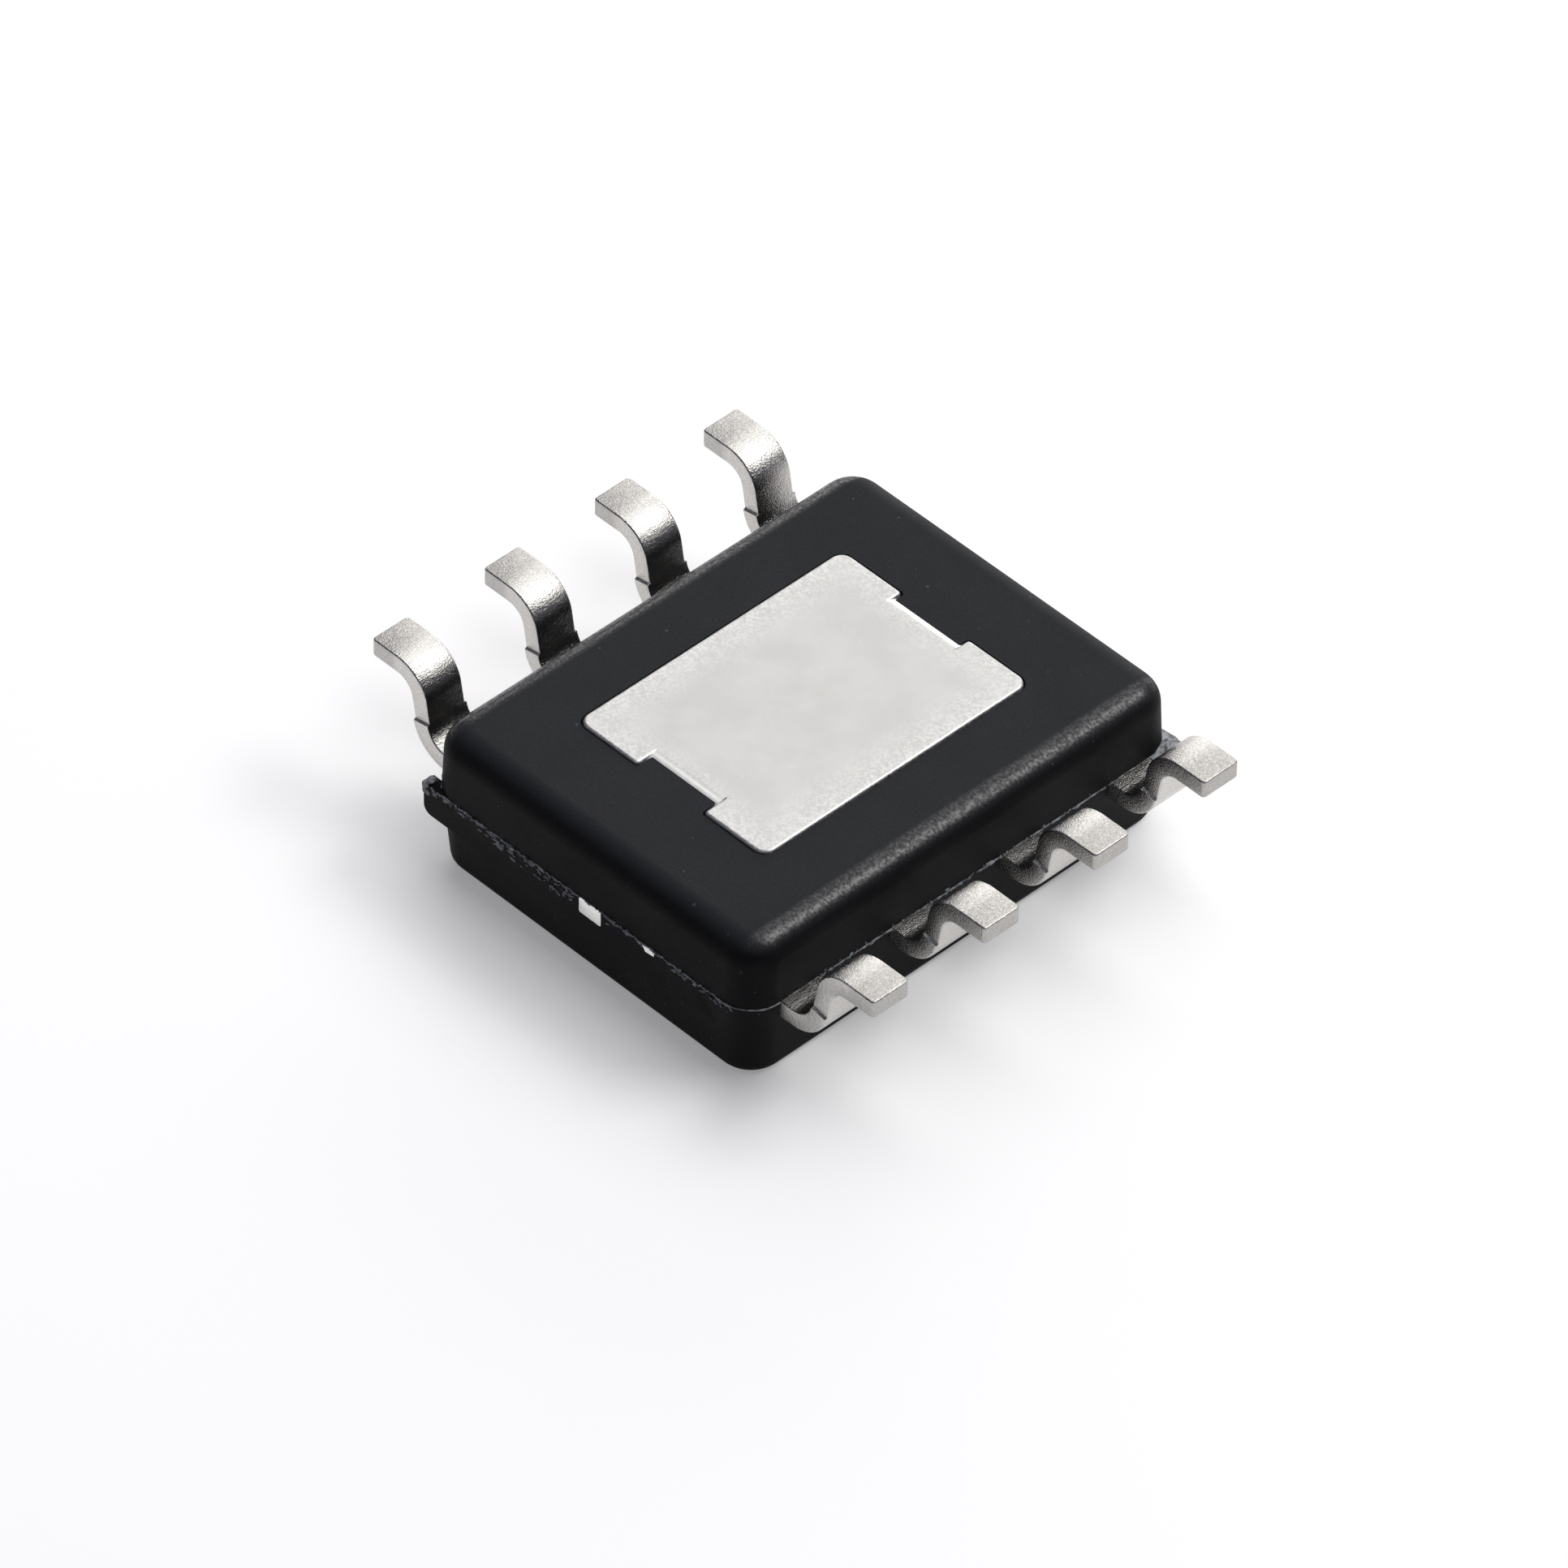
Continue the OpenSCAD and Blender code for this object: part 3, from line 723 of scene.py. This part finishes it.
def make_land(body, flash, finishes):
    """The flash land under the parting line, with its torn tongue past the corner."""
    half_x = body["width"] / 2
    half_y = body["length"] / 2
    top = body["parting_z"]
    bottom = top - flash["land"]
    left = BODY_LOW.x / MM
    bm = bmesh.new()
    corners = [(left, bottom), (half_x - body["corner"], bottom),
               (half_x - body["corner"], top), (left, top)]
    face = outline(bm, corners, [0.09, 0.0, 0.0, 0.0], 0.0, segments=8)
    bmesh.ops.rotate(bm, cent=(0, 0, 0), matrix=Matrix.Rotation(math.pi / 2, 3, "X"),
                     verts=bm.verts)
    bmesh.ops.translate(bm, vec=(0, -half_y, 0), verts=bm.verts)
    made = bmesh.ops.extrude_face_region(bm, geom=[face])["geom"]
    bmesh.ops.translate(bm, vec=(0, 0.12, 0),
                        verts=[g for g in made if isinstance(g, bmesh.types.BMVert)])
    fade = half_x - 2 * body["corner"]
    bmesh.ops.bisect_plane(bm, geom=bm.verts[:] + bm.edges[:] + bm.faces[:],
                           plane_co=(fade, 0, 0), plane_no=(1, 0, 0))
    sunk = [v for v in bm.verts if v.co.x > fade + 0.01 and v.co.y < -half_y + 0.01]
    bmesh.ops.translate(bm, vec=(0, 0.035, 0), verts=sunk)
    bmesh.ops.bevel(bm, geom=sharp_edges(bm, 50), offset=0.008, offset_type="OFFSET", segments=2,
                    profile=0.5, affect="EDGES", material=-1, clamp_overlap=True)
    finish_piece(bm, "flash_land", mould_material(finishes))
    torn = bmesh.new()
    block(torn, (left - 0.006, -half_y - 0.004, top - 0.12),
          (left + 0.07, -half_y + 0.1, top + 0.004))
    bmesh.ops.subdivide_edges(torn, edges=torn.edges[:], cuts=5, use_grid_fill=True)
    roughen(torn, torn.verts, 0.022, 0.05, flash["seed"], (0.9, 0.5, 1.2))
    finish_piece(torn, "torn_tongue", broken_material(finishes), sharp=20.0)


def make_lip(body, flash, finishes):
    """The thin broken lip that stands out along the parting line on all four walls."""
    rng = random.Random(flash["seed"])
    half_x = body["width"] / 2
    half_y = body["length"] / 2
    bm = bmesh.new()
    corners = [(-half_x, -half_y), (half_x, -half_y), (half_x, half_y), (-half_x, half_y)]
    face = outline(bm, corners, [body["corner"]] * 4, 0.0, segments=10)
    long_edges = [e for e in bm.edges if e.calc_length() > 1.0]
    bmesh.ops.subdivide_edges(bm, edges=long_edges, cuts=150)
    face = bm.faces[:][0]
    normals = {}
    for vert in face.verts:
        away = Vector((max(abs(vert.co.x) - (half_x - body["corner"]), 0) * (1 if vert.co.x > 0 else -1),
                       max(abs(vert.co.y) - (half_y - body["corner"]), 0) * (1 if vert.co.y > 0 else -1), 0))
        normals[vert] = away.normalized()
    made = bmesh.ops.inset_region(bm, faces=[face], thickness=0.03, use_even_offset=True,
                                   use_boundary=True)
    inner = [f for f in bm.faces if len(f.verts) > 4]
    bmesh.ops.delete(bm, geom=inner, context="FACES")
    for vert, away in normals.items():
        if not vert.is_valid:
            continue
        wave = noise.noise(vert.co * 9.0) * 0.5 + noise.noise(vert.co * 31.0)
        reach = flash["lip"] * max(-0.6, min(1.6, 0.55 + wave * 1.5))
        vert.co += away * reach
        vert.co.z += 0.006 * noise.noise(vert.co * 14.0)
    bmesh.ops.translate(bm, vec=(0, 0, body["parting_z"]), verts=bm.verts)
    bmesh.ops.recalc_face_normals(bm, faces=bm.faces)
    made = bmesh.ops.extrude_face_region(bm, geom=bm.faces[:])["geom"]
    bmesh.ops.translate(bm, vec=(0, 0, -0.014),
                        verts=[g for g in made if isinstance(g, bmesh.types.BMVert)])
    finish_piece(bm, "parting_lip", broken_material(finishes), sharp=20.0,
                 weld=0.0)
    chips = bmesh.new()
    for _ in range(flash["chips"]):
        along = rng.uniform(-1.85, 1.75)
        if -0.16 < along < 0.24:
            continue
        broad = 0.11 * math.exp(-((along + 0.55) / 0.75) ** 2) + 0.05
        if along > 0.25:
            broad = 0.07 if along > 0.8 else 0.03
            if rng.random() < 0.35:
                continue
        drop = rng.random() ** 1.3 * broad
        size = rng.uniform(0.008, 0.026)
        verts = bmesh.ops.create_icosphere(chips, subdivisions=1, radius=size)["verts"]
        bmesh.ops.scale(chips, vec=(rng.uniform(0.8, 2.2), 0.35, rng.uniform(0.4, 1.0)), verts=verts)
        bmesh.ops.rotate(chips, cent=(0, 0, 0), verts=verts,
                         matrix=Matrix.Rotation(rng.uniform(-0.7, 0.7), 3, "Y"))
        roughen(chips, verts, size * 0.5, size, rng.random() * 9)
        bmesh.ops.translate(chips, verts=verts,
                            vec=(along, -half_y - 0.002, body["parting_z"] - 0.01 - drop))
    finish_piece(chips, "parting_chips", broken_material(finishes),
                 sharp=15.0, weld=0.0)
    crumbs = bmesh.new()
    for side in (-1, 1):
        for _ in range(flash["crumbs"]):
            along = rng.uniform(-1.75, 1.75)
            size = rng.uniform(0.005, 0.014)
            verts = bmesh.ops.create_icosphere(crumbs, subdivisions=1, radius=size)["verts"]
            bmesh.ops.scale(crumbs, vec=(0.5, rng.uniform(0.8, 2.5), rng.uniform(0.5, 1.0)),
                            verts=verts)
            roughen(crumbs, verts, size * 0.5, size, rng.random() * 9)
            bmesh.ops.translate(crumbs, verts=verts,
                                vec=(side * (half_x + 0.003), along,
                                     body["parting_z"] + rng.uniform(-0.02, 0.03)))
    finish_piece(crumbs, "parting_crumbs", broken_material(finishes),
                 sharp=15.0, weld=0.0)


def make_fin(body, lead, finishes):
    """The torn fin of flash beside the corner lead."""
    half_x = body["width"] / 2
    half_y = body["length"] / 2
    top = body["parting_z"]
    edge = 1.5 * PITCH / MM + lead["width"] / 2 + lead["stub"]
    reach = BODY_HIGH.x / MM
    bm = bmesh.new()
    corners = [(half_x - body["corner"], edge), (half_x + 0.13, edge),
               (reach, (edge + half_y) / 2), (half_x + 0.08, half_y + 0.005),
               (half_x - body["corner"], half_y - 0.02)]
    face = outline(bm, corners, [0.0] * 5, top - lead["sheet"])
    made = bmesh.ops.extrude_face_region(bm, geom=[face])["geom"]
    bmesh.ops.translate(bm, vec=(0, 0, lead["sheet"]),
                        verts=[g for g in made if isinstance(g, bmesh.types.BMVert)])
    bmesh.ops.triangulate(bm, faces=bm.faces[:])
    bmesh.ops.subdivide_edges(bm, edges=bm.edges[:], cuts=7, use_grid_fill=True)
    outer = [v for v in bm.verts if v.co.x > half_x - 0.05]
    roughen(bm, outer, 0.035, 0.09, 5, (0.7, 0.5, 1.0))
    finish_piece(bm, "corner_fin", broken_material(finishes), sharp=25.0)


def make_pad(body, pad, lead, finishes):
    """The exposed pad with its rolled edges and the two bent tie bars."""
    top = PAD_HIGH.z / MM
    sheet = lead["sheet"]
    notch = pad["length"] / 2 - pad["notch_depth"]
    bm = bmesh.new()
    face = pad_outline(bm, pad, 0.0, top - sheet, (-notch + pad["roll"], notch))
    made = bmesh.ops.extrude_face_region(bm, geom=[face])["geom"]
    bmesh.ops.translate(bm, vec=(0, 0, sheet),
                        verts=[g for g in made if isinstance(g, bmesh.types.BMVert)])
    upper = [f for f in bm.faces if all(abs(v.co.z - top) < 1e-5 for v in f.verts)][0]
    round_rim(bm, upper, pad["edge"], 4)
    half_tie = pad["tie_width"] / 2
    for end in (-1, 1):
        strip = bmesh.new()
        wide = pad["notch_width"] / 2
        verts = block(strip, (-wide, 0, top - sheet - 0.0006), (wide, 0.06, top - 0.0006))
        start = notch - (pad["roll"] if end < 0 else 0.0)
        bmesh.ops.translate(strip, vec=(0, start - 0.06, 0), verts=verts)
        cap = max(strip.faces, key=lambda f: f.calc_center_median().y)
        cap = bend(strip, cap, (0, start, top - sheet - 0.05), (-1, 0, 0), math.radians(60), 14)
        end_y = body["length"] / 2 + 0.01
        out = bmesh.ops.extrude_face_region(strip, geom=[cap])["geom"]
        tail = [g for g in out if isinstance(g, bmesh.types.BMVert)]
        bmesh.ops.translate(strip, verts=tail, vec=(0, 0.25, -0.38))
        finish = [v for v in strip.verts]
        bmesh.ops.scale(strip, vec=(1, end, 1), verts=finish)
        if end < 0:
            bmesh.ops.reverse_faces(strip, faces=strip.faces)
        cut = block(strip, (pad["tie_offset"] - half_tie, end * end_y - 0.3 * max(end, 0),
                            body["parting_z"] - sheet),
                    (pad["tie_offset"] + half_tie, end * end_y + 0.3 * max(-end, 0),
                     body["parting_z"]))
        edges = list({e for v in cut for e in v.link_edges})
        bmesh.ops.bevel(strip, geom=edges, offset=0.02, offset_type="OFFSET", segments=2,
                        profile=0.5, affect="EDGES", material=-1, clamp_overlap=True)
        mesh = bpy.data.meshes.new("strip")
        strip.to_mesh(mesh)
        strip.free()
        bm.from_mesh(mesh)
        bpy.data.meshes.remove(mesh)
    sliver = block(bm, (0.7, -body["length"] / 2 - 0.012, body["parting_z"] - 0.06),
                   (0.8, -body["length"] / 2 + 0.05, body["parting_z"] - 0.01))
    roughen(bm, sliver, 0.03, 0.05, 11)
    finish_piece(bm, "exposed_pad",
                 pad_material(finishes, PAD_HIGH.x, pad["length"] / 2 * MM),
                 ["die_pad"], weld=0.0)


def make_lead(number, body, lead, finishes):
    """One gull-wing lead: wide shoulder, two bends and a flat foot."""
    side = -1 if number <= LEADS_PER_ROW else 1
    place = number - 1 if number <= LEADS_PER_ROW else 2 * LEADS_PER_ROW - number
    along = (place - (LEADS_PER_ROW - 1) / 2) * PITCH / MM
    sheet = lead["sheet"]
    tip = LEAD_HIGH.x / MM
    foot_top = LEAD_HIGH.z / MM
    low = body["parting_z"] - sheet
    angle = math.pi / 2 - lead["lean"]
    middles = lead["foot_bend"] + lead["shoulder_bend"] + sheet
    rise = foot_top - sheet / 2 - (low + sheet / 2)
    riser = (rise - middles * (1 - math.cos(angle))) / math.sin(angle)
    run = middles * math.sin(angle) + riser * math.cos(angle)
    start_x = tip - lead["foot"] - run
    wide = lead["width"] / 2 + lead["stub"]
    bm = bmesh.new()
    block(bm, (body["width"] / 2 - 0.08, -wide, low), (body["width"] / 2, wide, low + sheet))
    cap = max(bm.faces, key=lambda f: f.calc_center_median().x)
    cap = push(bm, cap, (start_x - body["width"] / 2, 0, 0))
    centre = (start_x, 0, low + sheet + lead["shoulder_bend"])
    cap = bend(bm, cap, centre, (0, -1, 0), angle, 16)
    slope = Vector((math.cos(angle), 0, math.sin(angle)))
    taper = 0.014
    cap = push(bm, cap, slope * taper, lead["width"] / 2 / wide)
    cap = push(bm, cap, slope * (riser - taper))
    inward = Vector((math.sin(angle), 0, -math.cos(angle)))
    middle = cap.calc_center_median()
    centre = middle + inward * (sheet / 2 + lead["foot_bend"])
    cap = bend(bm, cap, centre, (0, 1, 0), angle, 16)
    cap = push(bm, cap, (lead["foot"], 0, 0))
    tip_edges = [e for e in cap.edges if abs(e.verts[0].co.y - e.verts[1].co.y) < 1e-4]
    bmesh.ops.bevel(bm, geom=tip_edges, offset=0.035, offset_type="OFFSET", segments=4,
                    profile=0.5, affect="EDGES", material=-1)
    bmesh.ops.bevel(bm, geom=sharp_edges(bm, 32), offset=lead["edge"], offset_type="OFFSET",
                    segments=3, profile=0.5, affect="EDGES", material=-1, clamp_overlap=True)
    bmesh.ops.scale(bm, vec=(side, 1, 1), verts=bm.verts)
    bmesh.ops.translate(bm, vec=(0, along, 0), verts=bm.verts)
    finish_piece(bm, "gull_wing_%d" % number, tin_material(finishes),
                 ["lead_%d" % number])


def dress_hidden(finishes):
    """Gives the solids inside the body their own finishes."""
    plans = {
        "die": ("silicon_finish", (0.18, 0.19, 0.23), 0.0, 0.2),
        "die_attach": ("attach_finish", (0.45, 0.45, 0.47), 0.3, 0.5),
    }
    for name in HIDDEN_METAL:
        plans[name] = ("wire_finish", (0.72, 0.42, 0.27), 1.0, 0.3)
    for name, (finish, colour, metallic, roughness) in plans.items():
        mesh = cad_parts[name].data
        mesh.materials.clear()
        mesh.materials.append(inner_material(finish, colour, metallic, roughness))


# ---- studio ----


def make_floor(studio):
    """A broad pale floor that shows the object's shadow on white."""
    bm = bmesh.new()
    bmesh.ops.create_circle(bm, cap_ends=True, segments=64, radius=0.6)
    mesh = bpy.data.meshes.new("studio_floor")
    bm.to_mesh(mesh)
    bm.free()
    floor = bpy.data.objects.new("studio_floor", mesh)
    bpy.context.scene.collection.objects.link(floor)
    material = bpy.data.materials.new("floor_paper")
    material.use_nodes = True
    tree = material.node_tree
    tree.nodes.remove(tree.nodes["Principled BSDF"])
    out = tree.nodes["Material Output"]
    paper = tree.nodes.new("ShaderNodeBsdfDiffuse")
    paper.inputs["Color"].default_value = (0.95, 0.945, 0.955, 1.0)
    dim = tree.nodes.new("ShaderNodeBsdfDiffuse")
    dim.inputs["Color"].default_value = (0.3, 0.3, 0.32, 1.0)
    lift = tree.nodes.new("ShaderNodeEmission")
    lift.inputs["Strength"].default_value = 0.26
    bright = tree.nodes.new("ShaderNodeAddShader")
    tree.links.new(paper.outputs[0], bright.inputs[0])
    tree.links.new(lift.outputs[0], bright.inputs[1])
    rays = tree.nodes.new("ShaderNodeLightPath")
    seen = math_node(tree, "MAXIMUM", rays.outputs["Is Camera Ray"],
                     math_node(tree, "MAXIMUM", rays.outputs["Is Glossy Ray"],
                               rays.outputs["Is Transmission Ray"]))
    both = tree.nodes.new("ShaderNodeMixShader")
    tree.links.new(seen, both.inputs[0])
    tree.links.new(dim.outputs[0], both.inputs[1])
    tree.links.new(bright.outputs[0], both.inputs[2])
    tree.links.new(both.outputs[0], out.inputs["Surface"])
    mesh.materials.append(material)


def make_world(studio):
    """Soft surrounding light that the camera sees as white."""
    world = bpy.data.worlds.new("studio")
    bpy.context.scene.world = world
    world.use_nodes = True
    tree = world.node_tree
    ground = tree.nodes["Background"]
    out = tree.nodes["World Output"]
    ground.inputs["Color"].default_value = (0.84, 0.86, 1.1, 1.0)
    ground.inputs["Strength"].default_value = studio.sky
    white = tree.nodes.new("ShaderNodeBackground")
    white.inputs["Color"].default_value = (1.0, 1.0, 1.0, 1.0)
    rays = tree.nodes.new("ShaderNodeLightPath")
    mix = tree.nodes.new("ShaderNodeMixShader")
    tree.links.new(rays.outputs["Is Camera Ray"], mix.inputs[0])
    tree.links.new(ground.outputs[0], mix.inputs[1])
    tree.links.new(white.outputs[0], mix.inputs[2])
    tree.links.new(mix.outputs[0], out.inputs["Surface"])


def make_lamp(name, direction, distance, size, level, colour):
    """An area lamp aimed at the part; level is the brightness it gives a white surface."""
    towards = Vector(direction).normalized()
    data = bpy.data.lights.new(name, "AREA")
    data.shape = "RECTANGLE"
    data.size, data.size_y = size
    data.energy = level * math.pi ** 2 * distance ** 2 / max(0.2, towards.z)
    data.color = colour
    lamp = bpy.data.objects.new(name, data)
    lamp.location = towards * distance
    lamp.rotation_euler = towards.to_track_quat("Z", "Y").to_euler()
    bpy.context.scene.collection.objects.link(lamp)


def make_camera(studio):
    """The camera, aimed at the middle of the part."""
    azimuth, elevation = studio.azimuth, studio.elevation
    back = Vector((math.sin(azimuth) * math.cos(elevation),
                   -math.cos(azimuth) * math.cos(elevation), math.sin(elevation)))
    right = Vector((math.cos(azimuth), math.sin(azimuth), 0.0))
    up = back.cross(right)
    turn = Matrix.Rotation(studio.roll, 3, back)
    right, up = turn @ right, turn @ up
    data = bpy.data.cameras.new("camera")
    data.sensor_width = 36.0
    data.lens = studio.focal
    data.clip_start = 1.0 * MM
    data.clip_end = 10.0
    camera = bpy.data.objects.new("camera", data)
    pose = Matrix((right, up, back)).transposed().to_4x4()
    pose.translation = Vector(studio.aim) + back * studio.distance
    camera.matrix_world = pose
    bpy.context.scene.collection.objects.link(camera)
    bpy.context.scene.camera = camera


# ---- operators ----


class CHIP_OT_body(bpy.types.Operator):
    """Builds the moulded body with its pocket and dimple"""

    bl_idname = "chip.body"
    bl_label = "Moulded body"

    def execute(self, context):
        scene = context.scene
        make_body(millimetres(scene.chip_body), millimetres(scene.chip_pad), scene.chip_finishes)
        return {"FINISHED"}


class CHIP_OT_flash(bpy.types.Operator):
    """Builds the flash land, the lip, the flakes and the corner fin"""

    bl_idname = "chip.flash"
    bl_label = "Mould flash"

    def execute(self, context):
        scene = context.scene
        body, flash = millimetres(scene.chip_body), millimetres(scene.chip_flash)
        make_land(body, flash, scene.chip_finishes)
        make_lip(body, flash, scene.chip_finishes)
        make_fin(body, millimetres(scene.chip_leads), scene.chip_finishes)
        return {"FINISHED"}


class CHIP_OT_pad(bpy.types.Operator):
    """Builds the exposed pad and its tie bars"""

    bl_idname = "chip.pad"
    bl_label = "Exposed pad"

    def execute(self, context):
        scene = context.scene
        make_pad(millimetres(scene.chip_body), millimetres(scene.chip_pad),
                 millimetres(scene.chip_leads), scene.chip_finishes)
        return {"FINISHED"}


class CHIP_OT_leads(bpy.types.Operator):
    """Builds the eight gull-wing leads"""

    bl_idname = "chip.leads"
    bl_label = "Gull-wing leads"

    def execute(self, context):
        scene = context.scene
        for number in range(1, 2 * LEADS_PER_ROW + 1):
            make_lead(number, millimetres(scene.chip_body), millimetres(scene.chip_leads),
                      scene.chip_finishes)
        return {"FINISHED"}


class CHIP_OT_inside(bpy.types.Operator):
    """Dresses the die, its attach layer and the bond wires"""

    bl_idname = "chip.inside"
    bl_label = "Inner pieces"

    def execute(self, context):
        dress_hidden(context.scene.chip_finishes)
        return {"FINISHED"}


class CHIP_OT_studio(bpy.types.Operator):
    """Sets up the floor, the lamps, the surrounding light and the camera"""

    bl_idname = "chip.studio"
    bl_label = "Studio"

    def execute(self, context):
        studio = context.scene.chip_studio
        make_floor(studio)
        make_world(studio)
        warm = (1.0, 0.985, 0.965)
        make_lamp("overhead_lamp", (-0.05, 0.48, 1.0), 0.1, (0.15, 0.1), studio.overhead, warm)
        make_lamp("side_lamp", (0.5, 0.66, 1.0), 0.15, (0.07, 0.04), studio.side, warm)
        make_lamp("back_lamp", (-0.6, 0.9, 0.28), 0.15, (0.14, 0.05), studio.back, warm)
        make_camera(studio)
        context.scene.view_settings.view_transform = "Standard"
        return {"FINISHED"}


class CHIP_PT_panel(bpy.types.Panel):
    """Sizes, finishes and steps of the chip"""

    bl_idname = "CHIP_PT_panel"
    bl_label = "Chip"
    bl_space_type = "VIEW_3D"
    bl_region_type = "UI"
    bl_category = "Chip"

    def draw(self, context):
        for step in STEPS:
            self.layout.operator(step)
        for group in SETTINGS:
            box = self.layout.box()
            owner = getattr(context.scene, group)
            for name in owner.bl_rna.properties.keys():
                if name not in ("rna_type", "name"):
                    box.prop(owner, name)


SETTINGS = {
    "chip_body": ChipBodySizes,
    "chip_flash": ChipFlashSizes,
    "chip_pad": ChipPadSizes,
    "chip_leads": ChipLeadSizes,
    "chip_finishes": ChipFinishes,
    "chip_studio": ChipStudio,
}
STEPS = ("chip.body", "chip.flash", "chip.pad", "chip.leads", "chip.inside", "chip.studio")
CLASSES = tuple(SETTINGS.values()) + (
    CHIP_OT_body, CHIP_OT_flash, CHIP_OT_pad, CHIP_OT_leads, CHIP_OT_inside, CHIP_OT_studio,
    CHIP_PT_panel,
)


def register():
    for cls in CLASSES:
        bpy.utils.register_class(cls)
    for name, cls in SETTINGS.items():
        setattr(bpy.types.Scene, name, bpy.props.PointerProperty(type=cls))


def unregister():
    for name in SETTINGS:
        delattr(bpy.types.Scene, name)
    for cls in reversed(CLASSES):
        bpy.utils.unregister_class(cls)


def main():
    register()
    noise.seed_set(1)
    bpy.ops.chip.body()
    bpy.ops.chip.flash()
    bpy.ops.chip.pad()
    bpy.ops.chip.leads()
    bpy.ops.chip.inside()
    bpy.ops.chip.studio()


if __name__ == "__main__":
    main()
